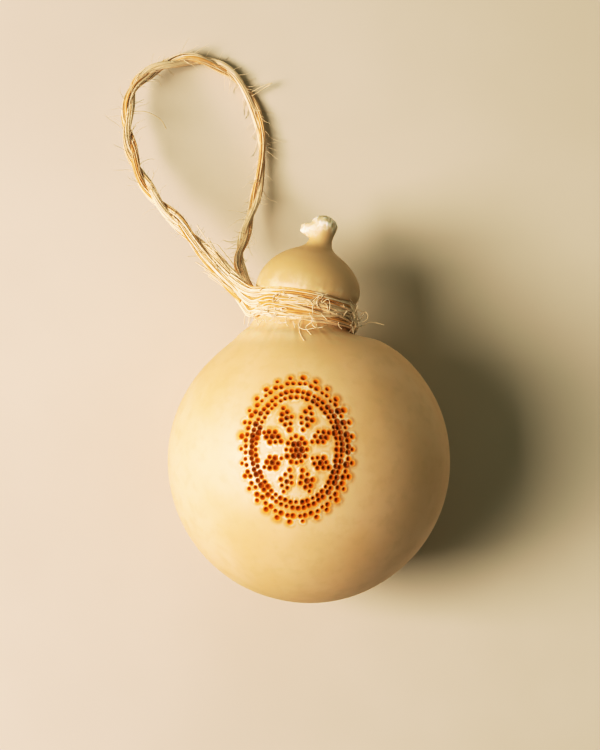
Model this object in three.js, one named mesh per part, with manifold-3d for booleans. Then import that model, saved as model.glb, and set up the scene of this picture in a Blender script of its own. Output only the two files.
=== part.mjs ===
// A small caciocavallo lying on its side: a ball of stretched-curd cheese that is drawn in to a neck, with
// a domed head and a pinched-off stub, bound by natural-fibre twine whose loop lies beside the head.
// Millimetres, +Z up, head toward +Y, burnt mark facing up. The origin is on the table, under the middle
// of the cheese's box.

import * as THREE from 'three';
import { mergeVertices } from 'three/addons/utils/BufferGeometryUtils.js';
import Module from 'manifold-3d';

// Ball, and the small flat spot that it lies on
const BALL_RADIUS = 62;
const REST_DEPTH = 1.8;
const BALL_CENTRE_HEIGHT = BALL_RADIUS - REST_DEPTH;
const BALL_CENTRE_Y = -22.6;
const SHOULDER_ANGLE = THREE.MathUtils.degToRad(62);

// Neck, head and stub: heights along the axis are measured from the ball's centre
const NECK_HEIGHT = 65.3;
const NECK_LOW = NECK_HEIGHT - 4.9;
const NECK_LOW_RADIUS = 21.4;
const NECK_HIGH = NECK_HEIGHT + 4.5;
const NECK_HIGH_RADIUS = 19.6;
const STUB_BASE = NECK_HEIGHT + 32;
const EAR_HEIGHT = NECK_HEIGHT + 36.8;
const EAR_SPAN = 2.2;
const EAR_REACH = 4.2;

// The outline's knots above the shoulder. A heading of 90 degrees runs along the axis, 180 toward it.
const OUTLINE_KNOTS = [
  { radius: NECK_LOW_RADIUS, height: NECK_LOW, heading: 101 },
  { radius: NECK_HIGH_RADIUS, height: NECK_HIGH, heading: 101 },
  { radius: 21.8, height: NECK_HEIGHT + 9.5, heading: 55 },
  { radius: 22.8, height: NECK_HEIGHT + 11.5, heading: 92 },
  { radius: 14.5, height: NECK_HEIGHT + 24.2, heading: 141 },
  { radius: 5.4, height: STUB_BASE, heading: 95 },
  { radius: 5.1, height: NECK_HEIGHT + 37.6, heading: 72 },
  { radius: 0, height: NECK_HEIGHT + 43, heading: 180 },
];
const KNOT_PULL = 0.38;

// How the neck sits aside and the head leans over it, to the right and a little down
const NECK_SHIFT = -2.2;
const NECK_LEAN = THREE.MathUtils.degToRad(8.4);
const HEAD_LEAN = THREE.MathUtils.degToRad(14.5);
const LEAN_AXIS = new THREE.Vector3(-0.5, 0, -1).normalize();
const LEAN_FROM = NECK_HEIGHT - 13;
const SHIFT_FROM = NECK_HEIGHT - 20;
const HEAD_LEAN_SPAN = 14;
const NECK_CENTRE = new THREE.Vector3(NECK_SHIFT, NECK_HEIGHT, 0);

// Burnt mark: an oval rosette of small pits, laid out by shares of the oval's size
const MARK_CENTRE = new THREE.Vector2(-5.3, 7);
const MARK_HALF_WIDTH = 24;
const MARK_HALF_HEIGHT = 31;
const HEART_DOTS = 6;
const HEART_SHARE = 0.1;
const PETALS = 8;
const PETAL_ROWS = [
  { share: 0.24, spread: 0 },
  { share: 0.33, spread: 9 },
  { share: 0.43, spread: 11 },
  { share: 0.52, spread: 7 },
  { share: 0.6, spread: 0 },
];
const RING_DOTS = 48;
const RING_SHARE = 0.7;
const RAYS = 36;
const RAY_SHARES = [0.82, 0.91, 1];
const PIT_RADIUS = 1;
const PIT_DEPTH = 0.8;

// Twine
const WRAP_DIAMETER = 3.9;
const WRAP_PITCH = 4.2;
const WRAP_TURNS = 2.4;
const WRAP_START_ANGLE = THREE.MathUtils.degToRad(150);
const WRAP_START_HEIGHT = 5.7;
const WRAP_CLEARANCE = 0.6;
const LOOP_DIAMETER = 5.2;

// The loop's centre line, from the neck's upper left out to the table and back under the first arm
const LOOP_ROUTE = [
  [-27.4, 49.9, 65.3],
  [-36, 58.5, 57.5],
  [-43, 66, 52],
  [-51.5, 75.5, 46],
  [-60, 85, 41.5],
  [-68.5, 94, 37.5],
  [-75.5, 104.5, 33.5],
  [-80, 115.5, 30],
  [-82.5, 127, 26.5],
  [-82.5, 138.5, 22.5],
  [-79.5, 148.5, 18],
  [-72.5, 155.5, 13],
  [-63.5, 160, 9],
  [-54, 162, 5.8],
  [-45, 160.5, 4],
  [-36.5, 156, 3.2],
  [-30.5, 149.5, 2.9],
  [-25.5, 140.5, 3],
  [-22.5, 130, 3.6],
  [-21.5, 119, 5],
  [-22.5, 107.5, 7.5],
  [-24.5, 96.5, 11.5],
  [-27.5, 85.5, 17.5],
  [-30, 75.5, 26],
  [-31.5, 67.5, 34.5],
  [-29.8, 60.5, 41.8],
  [-25.2, 51.4, 48.4],
];

// How finely the round forms are faceted
const LATHE_SEGMENTS = 36;
const BALL_STEPS = 18;
const KNOT_STEPS = 5;
const CORD_SIDES = 10;
const WRAP_STEPS = 64;
const LOOP_STEPS = 60;

const { smoothstep, degToRad } = THREE.MathUtils;
const wasm = await Module();
wasm.setup();

// A closed geometry as a solid that can be cut, without the empty triangles at a lathe's poles
function toSolid(geometry) {
  const bare = geometry.clone();
  bare.deleteAttribute('normal');
  bare.deleteAttribute('uv');
  const merged = mergeVertices(bare);
  const corners = merged.index.array;
  const triangles = [];
  for (let i = 0; i < corners.length; i += 3) {
    const [a, b, c] = [corners[i], corners[i + 1], corners[i + 2]];
    if (a !== b && b !== c && c !== a) triangles.push(a, b, c);
  }
  return new wasm.Manifold(new wasm.Mesh({
    numProp: 3,
    vertProperties: Float32Array.from(merged.attributes.position.array),
    triVerts: Uint32Array.from(triangles),
  }));
}

function toGeometry(solid) {
  const { vertProperties, triVerts } = solid.getMesh();
  const geometry = new THREE.BufferGeometry();
  geometry.setAttribute('position', new THREE.BufferAttribute(vertProperties, 3));
  geometry.setIndex(new THREE.BufferAttribute(triVerts, 1));
  geometry.computeVertexNormals();
  return geometry;
}

// Half of the cheese's outline, from the bottom of the ball round to the tip of the stub
function cheeseOutline() {
  const outline = new THREE.Path();
  outline.absarc(0, 0, BALL_RADIUS, -Math.PI / 2, SHOULDER_ANGLE, false);
  let heading = SHOULDER_ANGLE + Math.PI / 2;
  for (const knot of OUTLINE_KNOTS) {
    const from = outline.currentPoint.clone();
    const to = new THREE.Vector2(knot.radius, knot.height);
    const pull = new THREE.Vector2(KNOT_PULL * from.distanceTo(to), 0);
    const leaving = pull.clone().rotateAround(new THREE.Vector2(), heading).add(from);
    heading = degToRad(knot.heading);
    const arriving = pull.clone().rotateAround(new THREE.Vector2(), heading).negate().add(to);
    outline.bezierCurveTo(leaving.x, leaving.y, arriving.x, arriving.y, to.x, to.y);
  }
  const points = [new THREE.Vector2(0, -BALL_RADIUS)];
  for (const curve of outline.curves) {
    const steps = curve.isEllipseCurve ? BALL_STEPS : KNOT_STEPS;
    points.push(...curve.getPoints(steps).slice(1));
  }
  return points;
}

// Pulls the stub's torn edge out into an ear on its left side
function pullEar(point) {
  const radius = Math.hypot(point.x, point.z);
  if (point.y < STUB_BASE || radius === 0) return;
  const sideways = Math.max(0, -point.x / radius) ** 3;
  const along = Math.exp(-(((point.y - EAR_HEIGHT) / EAR_SPAN) ** 2));
  point.x -= EAR_REACH * sideways * along;
}

// Moves the neck aside and leans neck and head about the neck's centre
function leanHead(point) {
  const angle = NECK_LEAN * smoothstep(point.y, LEAN_FROM, NECK_LOW)
    + (HEAD_LEAN - NECK_LEAN) * smoothstep(point.y, NECK_HIGH, NECK_HIGH + HEAD_LEAN_SPAN);
  point.x += NECK_SHIFT * smoothstep(point.y, SHIFT_FROM, NECK_LOW);
  point.sub(NECK_CENTRE).applyAxisAngle(LEAN_AXIS, angle).add(NECK_CENTRE);
}

// A point of the mark's oval, at a share of its size and an angle
function onOval(share, angle) {
  const x = MARK_HALF_WIDTH * share * Math.cos(angle);
  const y = MARK_HALF_HEIGHT * share * Math.sin(angle);
  return new THREE.Vector2(x, y);
}

// The rosette: a filled heart, petals, a ring and a border of short rays
function markDots() {
  const dots = [new THREE.Vector2(0, 0)];
  for (let i = 0; i < HEART_DOTS; i += 1) dots.push(onOval(HEART_SHARE, (2 * Math.PI * i) / HEART_DOTS));
  for (let petal = 0; petal < PETALS; petal += 1) {
    const middle = (2 * Math.PI * (petal + 0.5)) / PETALS;
    for (const { share, spread } of PETAL_ROWS) {
      dots.push(onOval(share, middle - degToRad(spread)));
      if (spread > 0) dots.push(onOval(share, middle + degToRad(spread)));
    }
  }
  const ring = new THREE.EllipseCurve(0, 0, RING_SHARE * MARK_HALF_WIDTH, RING_SHARE * MARK_HALF_HEIGHT);
  dots.push(...ring.getSpacedPoints(RING_DOTS).slice(1));
  const border = new THREE.EllipseCurve(0, 0, MARK_HALF_WIDTH, MARK_HALF_HEIGHT);
  for (const end of border.getSpacedPoints(RAYS).slice(1)) {
    for (const share of RAY_SHARES) dots.push(end.clone().multiplyScalar(share));
  }
  return dots;
}

// One pit's cutting ball, set over the ball's surface so that it bites in to the pit's depth
function pitSolid(dot) {
  const { x, y } = dot.clone().add(MARK_CENTRE);
  const surface = new THREE.Vector3(x, y, Math.sqrt(BALL_RADIUS ** 2 - x * x - y * y));
  const centre = surface.setLength(BALL_RADIUS + PIT_RADIUS - PIT_DEPTH);
  const bite = new THREE.IcosahedronGeometry(PIT_RADIUS).translate(centre.x, centre.y, centre.z);
  return toSolid(bite);
}

function cheeseGeometry() {
  const geometry = new THREE.LatheGeometry(cheeseOutline(), LATHE_SEGMENTS);
  const places = geometry.attributes.position;
  const point = new THREE.Vector3();
  for (let i = 0; i < places.count; i += 1) {
    point.fromBufferAttribute(places, i);
    pullEar(point);
    leanHead(point);
    places.setXYZ(i, point.x, point.y, point.z);
  }
  const table = new THREE.BoxGeometry(2 * BALL_RADIUS, 2 * BALL_RADIUS, BALL_RADIUS);
  table.translate(0, 0, -BALL_CENTRE_HEIGHT - BALL_RADIUS / 2);
  let solid = toSolid(geometry).subtract(toSolid(table));
  for (const dot of markDots()) solid = solid.subtract(pitSolid(dot));
  return toGeometry(solid);
}

// The twine's winding round the neck, over the top from the left and down toward the ball
class Winding extends THREE.Curve {
  getPoint(t, target = new THREE.Vector3()) {
    const turned = WRAP_TURNS * t;
    const angle = WRAP_START_ANGLE - 2 * Math.PI * turned;
    const height = WRAP_START_HEIGHT - WRAP_PITCH * turned;
    const slope = (NECK_LOW_RADIUS - NECK_HIGH_RADIUS) / (NECK_HIGH - NECK_LOW);
    const neck = NECK_HIGH_RADIUS + slope * (NECK_HIGH - NECK_HEIGHT - height);
    const radius = neck + WRAP_DIAMETER / 2 + WRAP_CLEARANCE;
    return target.set(radius * Math.cos(angle), height, radius * Math.sin(angle));
  }
}

// A round cord along a curve, with flat ends
function cordGeometry(path, diameter, steps) {
  const section = new THREE.Shape();
  for (let side = 0; side < CORD_SIDES; side += 1) {
    const angle = (2 * Math.PI * side) / CORD_SIDES;
    const x = (diameter / 2) * Math.cos(angle);
    const y = (diameter / 2) * Math.sin(angle);
    if (side === 0) section.moveTo(x, y);
    else section.lineTo(x, y);
  }
  return new THREE.ExtrudeGeometry(section, { steps, extrudePath: path });
}

function namedMesh(name, geometry, look) {
  const mesh = new THREE.Mesh(geometry, new THREE.MeshStandardMaterial(look));
  mesh.name = name;
  return mesh;
}

const cheese = namedMesh('cheese', cheeseGeometry(), { color: 0xe8c98f, roughness: 0.42, metalness: 0 });

const woundTwine = cordGeometry(new Winding(), WRAP_DIAMETER, WRAP_STEPS);
const binding = namedMesh('binding', woundTwine, { color: 0xe6d0a3, roughness: 0.85, metalness: 0 });
binding.position.copy(NECK_CENTRE);
binding.quaternion.setFromAxisAngle(LEAN_AXIS, NECK_LEAN);

const bound = new THREE.Group();
bound.position.set(0, BALL_CENTRE_Y, BALL_CENTRE_HEIGHT);
bound.add(cheese, binding);

const route = new THREE.CatmullRomCurve3(LOOP_ROUTE.map((place) => new THREE.Vector3(...place)));
const freeTwine = cordGeometry(route, LOOP_DIAMETER, LOOP_STEPS);
const loop = namedMesh('loop', freeTwine, { color: 0xd9ae6a, roughness: 0.85, metalness: 0 });

const caciocavallo = new THREE.Group();
caciocavallo.add(bound, loop);

export default caciocavallo;
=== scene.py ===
"""The looks of a small caciocavallo: a waxy ball of stretched curd, tied at the neck with twine."""

import math

import bmesh
import bpy
import numpy as np
from mathutils import Matrix, Vector


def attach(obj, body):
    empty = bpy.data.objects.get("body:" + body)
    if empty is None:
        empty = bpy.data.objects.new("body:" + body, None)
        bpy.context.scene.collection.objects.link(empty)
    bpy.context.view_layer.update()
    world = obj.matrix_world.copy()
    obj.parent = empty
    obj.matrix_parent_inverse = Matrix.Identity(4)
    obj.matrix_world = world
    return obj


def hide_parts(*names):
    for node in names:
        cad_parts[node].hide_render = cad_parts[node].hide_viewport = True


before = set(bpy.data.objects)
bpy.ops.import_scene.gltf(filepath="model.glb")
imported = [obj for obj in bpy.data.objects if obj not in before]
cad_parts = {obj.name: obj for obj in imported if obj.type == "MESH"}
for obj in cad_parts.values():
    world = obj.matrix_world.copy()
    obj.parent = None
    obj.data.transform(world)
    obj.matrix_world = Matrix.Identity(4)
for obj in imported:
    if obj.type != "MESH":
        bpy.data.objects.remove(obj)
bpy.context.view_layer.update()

# Camera
# The cheese is seen from straight above, through a long lens about a metre over the table, with its
# head toward the top of the picture.
CAMERA_PLACE = (-0.00396, 0.0152, 1.010)

# The picture's height takes in this much of the scene, at this distance from the lens
FIELD_HEIGHT = 0.3298
FIELD_DISTANCE = 0.9498


def placed(name, data):
    """A new object in the scene that shows the data."""
    thing = bpy.data.objects.new(name, data)
    bpy.context.scene.collection.objects.link(thing)
    return thing


lens = bpy.data.cameras.new("overhead_camera")
lens.sensor_fit = "VERTICAL"
lens.lens = lens.sensor_height * FIELD_DISTANCE / FIELD_HEIGHT
camera = placed("overhead_camera", lens)
camera.location = CAMERA_PLACE
bpy.context.scene.camera = camera

# The twine's free loop
# Natural twine of two loosely twisted plies, each a bundle of long straw-like fibres. It leaves the
# binding at the neck's upper left, where it has come undone, bends over to the table, and comes back
# under its own first arm.
MM = 0.001
LAY_LENGTH = 40 * MM

# Each place of the route in metres, then how far the fibres spread there: 1 where they lie as twisted
LOOP_ROUTE = [
    (-0.0274, 0.0499, 0.0653, 1.45),
    (-0.0360, 0.0585, 0.0575, 1.50),
    (-0.0430, 0.0660, 0.0520, 1.42),
    (-0.0515, 0.0755, 0.0460, 1.22),
    (-0.0600, 0.0850, 0.0415, 1.10),
    (-0.0685, 0.0940, 0.0375, 1.02),
    (-0.0755, 0.1045, 0.0335, 1.00),
    (-0.0800, 0.1155, 0.0300, 1.00),
    (-0.0825, 0.1270, 0.0265, 1.00),
    (-0.0825, 0.1385, 0.0225, 0.98),
    (-0.0795, 0.1485, 0.0180, 0.98),
    (-0.0725, 0.1555, 0.0130, 1.02),
    (-0.0635, 0.1600, 0.0090, 1.05),
    (-0.0540, 0.1620, 0.0058, 1.02),
    (-0.0450, 0.1605, 0.0040, 0.96),
    (-0.0365, 0.1560, 0.0032, 0.88),
    (-0.0305, 0.1495, 0.0029, 0.84),
    (-0.0255, 0.1405, 0.0030, 0.80),
    (-0.0225, 0.1300, 0.0036, 0.76),
    (-0.0215, 0.1190, 0.0050, 0.74),
    (-0.0225, 0.1075, 0.0075, 0.76),
    (-0.0245, 0.0965, 0.0115, 0.84),
    (-0.0275, 0.0855, 0.0175, 0.90),
    (-0.0300, 0.0755, 0.0260, 0.90),
    (-0.0315, 0.0675, 0.0345, 0.84),
    (-0.0298, 0.0605, 0.0418, 0.80),
    (-0.0252, 0.0514, 0.0484, 0.50),
]
ROUTE_STEPS = 8

# How tightly the plies turn, as shares of the full twist: less where the fibres are spread open, and
# less where the twine is thin
OPEN_SPREADS = (1.05, 1.45)
OPEN_TWIST = (1.0, 0.12)
THIN_SPREADS = (0.76, 0.95)
THIN_TWIST = (0.5, 1.0)


def smooth_line(places, steps):
    """A smooth line through the places, as an array with that many steps from place to place."""
    places = np.array(places, float)
    before_first = 2 * places[0] - places[1]
    after_last = 2 * places[-1] - places[-2]
    padded = np.vstack([before_first, places, after_last])
    line = []
    for before, start, stop, after in zip(padded, padded[1:], padded[2:], padded[3:]):
        for share in np.arange(steps) / steps:
            straight = 2 * start + (stop - before) * share
            bent = (2 * before - 5 * start + 4 * stop - after) * share ** 2
            curled = (3 * start - before - 3 * stop + after) * share ** 3
            line.append((straight + bent + curled) / 2)
    return np.vstack([line, places[-1]])


def plies_turned(line, spread, lay_length):
    """How far the plies have turned at each point of a line. They hardly turn where the twine is open."""
    lengths = np.linalg.norm(np.diff(line, axis=0), axis=1)
    tightness = np.interp(spread, OPEN_SPREADS, OPEN_TWIST) / lay_length
    turns = lengths * (tightness[1:] + tightness[:-1]) / 2
    return 2 * math.pi * np.concatenate([[0], np.cumsum(turns)])


def keep_values(mesh, label, values):
    """Stores one value for each point of a mesh under a name."""
    kept = mesh.attributes.new(label, "FLOAT", "POINT")
    kept.data.foreach_set("value", values.astype(np.float32))


def chain_object(name, strands, lay_length):
    """An object of bare edges along strands of (x, y, z, spread), with spread and turn on each point."""
    corners, edges, spreads, turns = [], [], [], []
    for strand in strands:
        first = len(corners)
        corners.extend(strand[:, :3].tolist())
        edges.extend((first + step, first + step + 1) for step in range(len(strand) - 1))
        spreads.append(strand[:, 3])
        turns.append(plies_turned(strand[:, :3], strand[:, 3], lay_length))
    mesh = bpy.data.meshes.new(name)
    mesh.from_pydata(corners, edges, [])
    keep_values(mesh, "spread", np.concatenate(spreads))
    keep_values(mesh, "turn", np.concatenate(turns))
    return placed(name, mesh)


class NodeBench:
    """Lays nodes in one tree and wires them. An input takes a plain value or another node's output."""

    def __init__(self, tree):
        self.tree = tree

    def feed(self, node, inputs):
        for socket, value in inputs.items():
            if isinstance(value, bpy.types.NodeSocket):
                self.tree.links.new(value, node.inputs[socket])
            else:
                node.inputs[socket].default_value = value

    def add(self, kind, inputs, output=0, **settings):
        node = self.tree.nodes.new(kind)
        for setting, value in settings.items():
            setattr(node, setting, value)
        self.feed(node, inputs)
        return node.outputs[output]

    def math(self, operation, first, second=0.0, third=0.0):
        return self.add("ShaderNodeMath", {0: first, 1: second, 2: third}, operation=operation)

    def plus(self, first, second):
        return self.math("ADD", first, second)

    def minus(self, first, second):
        return self.math("SUBTRACT", first, second)

    def times(self, first, second):
        return self.math("MULTIPLY", first, second)

    def vector(self, operation, first, second=(0, 0, 0)):
        return self.add("ShaderNodeVectorMath", {0: first, 1: second}, operation=operation)

    def scaled(self, vector, amount):
        return self.add("ShaderNodeVectorMath", {0: vector, "Scale": amount}, operation="SCALE")

    def joined(self, x, y, z=0.0):
        return self.add("ShaderNodeCombineXYZ", {0: x, 1: y, 2: z})

    def eased(self, value, low, high, start=0.0, stop=1.0):
        sockets = {"Value": value, 1: low, 2: high, 3: start, 4: stop}
        return self.add("ShaderNodeMapRange", sockets, interpolation_type="SMOOTHSTEP")

    def chance(self, low, high, item, seed):
        sockets = {2: low, 3: high, "ID": item, "Seed": seed}
        return self.add("FunctionNodeRandomValue", sockets, output=1)

    def noise(self, place, scale, detail=2.0, output=0):
        return self.add("ShaderNodeTexNoise", {"Vector": place, "Scale": scale, "Detail": detail}, output)

    def blended(self, amount, first, second):
        sockets = {0: amount, 6: first, 7: second}
        return self.add("ShaderNodeMix", sockets, output=2, data_type="RGBA")

    def named(self, label):
        return self.add("GeometryNodeInputNamedAttribute", {"Name": label})

    def stored(self, geometry, label, value):
        sockets = {"Geometry": geometry, "Name": label, "Value": value}
        return self.add("GeometryNodeStoreNamedAttribute", sockets)


def new_tree(name, inputs):
    """An empty geometry tree: a bench on it, its group inputs by name, and the node for its result."""
    tree = bpy.data.node_groups.new(name, "GeometryNodeTree")
    tree.interface.new_socket("Geometry", in_out="OUTPUT", socket_type="NodeSocketGeometry")
    tree.interface.new_socket("Geometry", in_out="INPUT", socket_type="NodeSocketGeometry")
    for label, kind in inputs.items():
        tree.interface.new_socket(label, in_out="INPUT", socket_type="NodeSocket" + kind)
    given = tree.nodes.new("NodeGroupInput")
    result = tree.nodes.new("NodeGroupOutput")
    return NodeBench(tree), given.outputs, result.inputs["Geometry"]


def close_tree(bench, geometry, dress, result):
    """Ends a tree with smooth, real geometry that carries its materials, each on its chosen faces."""
    smooth = bench.add("GeometryNodeSetShadeSmooth", {"Geometry": geometry})
    dressed = bench.add("GeometryNodeRealizeInstances", {"Geometry": smooth})
    for material, chosen in dress:
        dressed = bench.add("GeometryNodeSetMaterial", {
            "Geometry": dressed, "Selection": chosen, "Material": material})
    bench.tree.links.new(dressed, result)
    return bench.tree


def grown(name, carrier, tree, values):
    """The plain mesh object that a tree makes from a carrier, which is used up."""
    modifier = carrier.modifiers.new(tree.name, "NODES")
    modifier.node_group = tree
    sockets = {item.name: item.identifier for item in tree.interface.items_tree if item.in_out == "INPUT"}
    for label, value in values.items():
        modifier[sockets[label]] = value
    depsgraph = bpy.context.evaluated_depsgraph_get()
    evaluated = carrier.evaluated_get(depsgraph)
    mesh = bpy.data.meshes.new_from_object(evaluated, preserve_all_data_layers=True, depsgraph=depsgraph)
    mesh.name = name
    bpy.data.objects.remove(carrier)
    return placed(name, mesh)


# How fibres lie in a ply: crowded to its outside, twisted back against it, and drifting as they run
OUTSIDE_CROWDING = 0.4
BACK_TWIST = 0.4
DRIFTS_PER_METRE = 38.0
DRIFT_APART = 3.7

# How pale a fibre is: by chance, by its ply, and by how far outside it lies, as painted shade on the
# deeper fibres
CHANCE_TONE = 0.6
SECOND_PLY_TONE = -0.32
DEPTH_SHADE_TONE = 0.45

# A fibre is a flattened thread, more or less thick, that turns about itself by radians per metre
FIBRE_SIDES = 5
FIBRE_FLATNESS = 0.6
FIBRE_TURNING = 60.0
FIBRE_THICKNESS = (0.5, 1.5)


def twine_tree():
    """Fibres along strands, in plies that turn as each point says, opened flat where they spread."""
    bench, given, result = new_tree("fibre_twine", {
        "Fibres": "Int",
        "Plies": "Int",
        "Ply Offset": "Float",
        "Ply Radius": "Float",
        "Fibre Radius": "Float",
        "Wander": "Float",
        "Width": "Float",
        "Depth": "Float",
        "Upright": "Float",
        "Paleness": "Float",
        "Step": "Float",
        "Seed": "Int",
        "Material": "Material",
    })
    route = bench.add("GeometryNodeMeshToCurve", {"Mesh": given["Geometry"]})
    stepped = {"Curve": route, "Length": given["Step"]}
    even = bench.add("GeometryNodeResampleCurve", stepped, mode="LENGTH")
    upright = bench.add("GeometryNodeSetCurveNormal", {"Curve": even}, mode="Z_UP")
    copied = {"Geometry": upright, "Amount": given["Fibres"]}
    copies = bench.add("GeometryNodeDuplicateElements", copied, domain="SPLINE").node
    fibre = copies.outputs["Duplicate Index"]

    def seeded(low, high, shift):
        return bench.chance(low, high, fibre, bench.plus(given["Seed"], shift))

    along = bench.add("GeometryNodeSplineParameter", {}, output=1)
    turn = bench.named("turn")
    ply = bench.math("MODULO", fibre, given["Plies"])
    ply_start = bench.math("DIVIDE", bench.times(ply, 2 * math.pi), given["Plies"])
    ply_angle = bench.plus(turn, ply_start)
    outwards = bench.math("POWER", seeded(0.0, 1.0, 1), OUTSIDE_CROWDING)
    deep = bench.times(outwards, given["Ply Radius"])
    own_angle = bench.minus(seeded(0.0, 2 * math.pi, 2), bench.times(turn, BACK_TWIST))

    drift_place = bench.joined(bench.times(along, DRIFTS_PER_METRE), bench.times(fibre, DRIFT_APART))
    drift = bench.noise(drift_place, 1.0, 1.0, output=1)
    centred = bench.vector("SUBTRACT", drift, (0.5, 0.5, 0.5))
    strayed = bench.scaled(centred, bench.times(given["Wander"], 2.0))

    def across(function):
        of_ply = bench.times(bench.math(function, ply_angle), given["Ply Offset"])
        of_fibre = bench.times(bench.math(function, own_angle), deep)
        return bench.plus(of_ply, of_fibre)

    bundle = bench.vector("ADD", bench.joined(across("COSINE"), across("SINE")), strayed)
    spread = bench.named("spread")
    flattened = bench.math("MINIMUM", spread, bench.math("DIVIDE", 1.0, spread))
    aside_share = bench.add("ShaderNodeMix", {0: given["Upright"], 2: spread, 3: flattened})
    upward_share = bench.add("ShaderNodeMix", {0: given["Upright"], 2: flattened, 3: spread})
    wide = bench.times(aside_share, given["Width"])
    high = bench.times(upward_share, given["Depth"])
    shaped = bench.vector("MULTIPLY", bundle, bench.joined(wide, high))
    sideways, lifted = bench.add("ShaderNodeSeparateXYZ", {0: shaped}).node.outputs[:2]
    aside = bench.add("GeometryNodeInputNormal", {})
    ahead = bench.add("GeometryNodeInputTangent", {})
    upward = bench.vector("CROSS_PRODUCT", ahead, aside)
    offset = bench.vector("ADD", bench.scaled(aside, sideways), bench.scaled(upward, lifted))
    fibres = bench.add("GeometryNodeSetPosition", {
        "Geometry": copies.outputs["Geometry"], "Offset": offset})

    own_tone = bench.times(seeded(0.0, 1.0, 3), CHANCE_TONE)
    ply_tone = bench.math("MULTIPLY_ADD", ply, SECOND_PLY_TONE, own_tone)
    # The deeper a fibre lies in its ply, the darker its tone: painted shade between the fibres
    depth_shade_tone = bench.math("MULTIPLY_ADD", outwards, DEPTH_SHADE_TONE, given["Paleness"])
    tone = bench.plus(ply_tone, depth_shade_tone)
    toned = bench.stored(fibres, "tone", tone)
    run = bench.stored(toned, "run", along)
    tilt = bench.plus(seeded(0.0, 2 * math.pi, 4), bench.times(along, FIBRE_TURNING))
    tilted = bench.add("GeometryNodeSetCurveTilt", {"Curve": run, "Tilt": tilt})
    section = bench.add("GeometryNodeCurvePrimitiveCircle", {"Resolution": FIBRE_SIDES, "Radius": 1.0})
    ribbon = bench.add("GeometryNodeTransform", {
        "Geometry": section, "Scale": (1.0, FIBRE_FLATNESS, 1.0)})
    thick = bench.times(given["Fibre Radius"], seeded(*FIBRE_THICKNESS, 5))
    solid = bench.add("GeometryNodeCurveToMesh", {
        "Curve": tilted, "Profile Curve": ribbon, "Scale": thick, "Fill Caps": True})
    return close_tree(bench, solid, [(given["Material"], True)], result)


def new_material(name):
    """An empty procedural material: the material, a bench on its tree, and its main shader."""
    material = bpy.data.materials.new(name)
    material.use_nodes = True
    return material, NodeBench(material.node_tree), material.node_tree.nodes["Principled BSDF"]


# Straw's colours, and how often streaks and grain change along a fibre and from fibre to fibre
STRAW_GOLD = (0.68, 0.34, 0.10, 1)
STRAW_CREAM = (0.94, 0.74, 0.51, 1)
STRAW_STAIN = (0.60, 0.28, 0.07, 1)
STRAW_BLEACHED = (0.97, 0.86, 0.70, 1)
STREAKS_PER_METRE = 90.0
STREAKS_PER_TONE = 60.0
GRAINS_PER_METRE = 700.0


def straw_material():
    """Dry straw fibre: cream to golden tan, with darker and paler runs along each fibre."""
    material, bench, shader = new_material("straw_fibre")
    tone = bench.add("ShaderNodeAttribute", {}, output=2, attribute_name="tone")
    run = bench.add("ShaderNodeAttribute", {}, output=2, attribute_name="run")
    streaks_along = bench.times(run, STREAKS_PER_METRE)
    streak = bench.noise(bench.joined(streaks_along, bench.times(tone, STREAKS_PER_TONE)), 1.0, 3.0)
    grain = bench.noise(bench.joined(bench.times(run, GRAINS_PER_METRE), tone), 1.0, 2.0)
    # Low tones are gold and high ones cream; the low end partly carries painted shade on a ply's deeper
    # fibres
    own_colour = bench.blended(bench.eased(tone, 0.2, 0.8), STRAW_GOLD, STRAW_CREAM)
    stained = bench.blended(bench.eased(streak, 0.55, 0.8, 0.0, 0.6), own_colour, STRAW_STAIN)
    bench.feed(shader, {
        "Base Color": bench.blended(bench.eased(streak, 0.5, 0.28, 0.0, 0.7), stained, STRAW_BLEACHED),
        "Roughness": bench.eased(grain, 0.3, 0.7, 0.45, 0.7),
        "Normal": bench.add("ShaderNodeBump", {"Height": grain, "Strength": 0.3, "Distance": 0.2 * MM}),
        "Specular IOR Level": 0.4,
    })
    return material


straw = straw_material()
twine = twine_tree()


def straw_piece(name, strands, lay_length, sizes):
    """A piece of straw along strands. What its sizes leave out is as in one round, loose bundle."""
    values = {"Plies": 1, "Ply Offset": 0.0, "Width": 1.0, "Depth": 1.0, "Upright": 0.0}
    values.update(sizes, Material=straw)
    return grown(name, chain_object(name + "_route", strands, lay_length), twine, values)


loop_strand = smooth_line(LOOP_ROUTE, ROUTE_STEPS)
loop_path = loop_strand[:, :3]
loop_lay = LAY_LENGTH / np.interp(loop_strand[:, 3], THIN_SPREADS, THIN_TWIST)
loop = straw_piece("twine_loop", [loop_strand], loop_lay, {
    "Fibres": 108,
    "Plies": 2,
    "Ply Offset": 1.35 * MM,
    "Ply Radius": 1.6 * MM,
    "Fibre Radius": 0.3 * MM,
    "Wander": 0.5 * MM,
    "Paleness": 0.1,
    "Step": 2.0 * MM,
    "Seed": 11,
})
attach(loop, "root")
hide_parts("loop")

# Fibres that have come loose from the loop
# Where the twine opens near the neck some fibres lie beside it, longer ends curl away from it, and fine
# hairs stand off all along it. They are the same straw fibres, held only by the twist.
FRAY_COUNT = 14
FRAY_SEED = 7
FRAY_START = (0.0, 26 * MM)
FRAY_RUN = (12 * MM, 24 * MM)
FRAY_SIDES = (-1, 1, 1)
FRAY_FOOT = 2.6 * MM
FRAY_REACH = (4.0 * MM, 6.4 * MM)
FRAY_BEND = (0.7, 2.0)
FRAY_RISE = (-0.45 * MM, 1.5 * MM)
FRAY_STOPS = 7
SHORT_FIBRE_STEPS = 3

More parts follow.
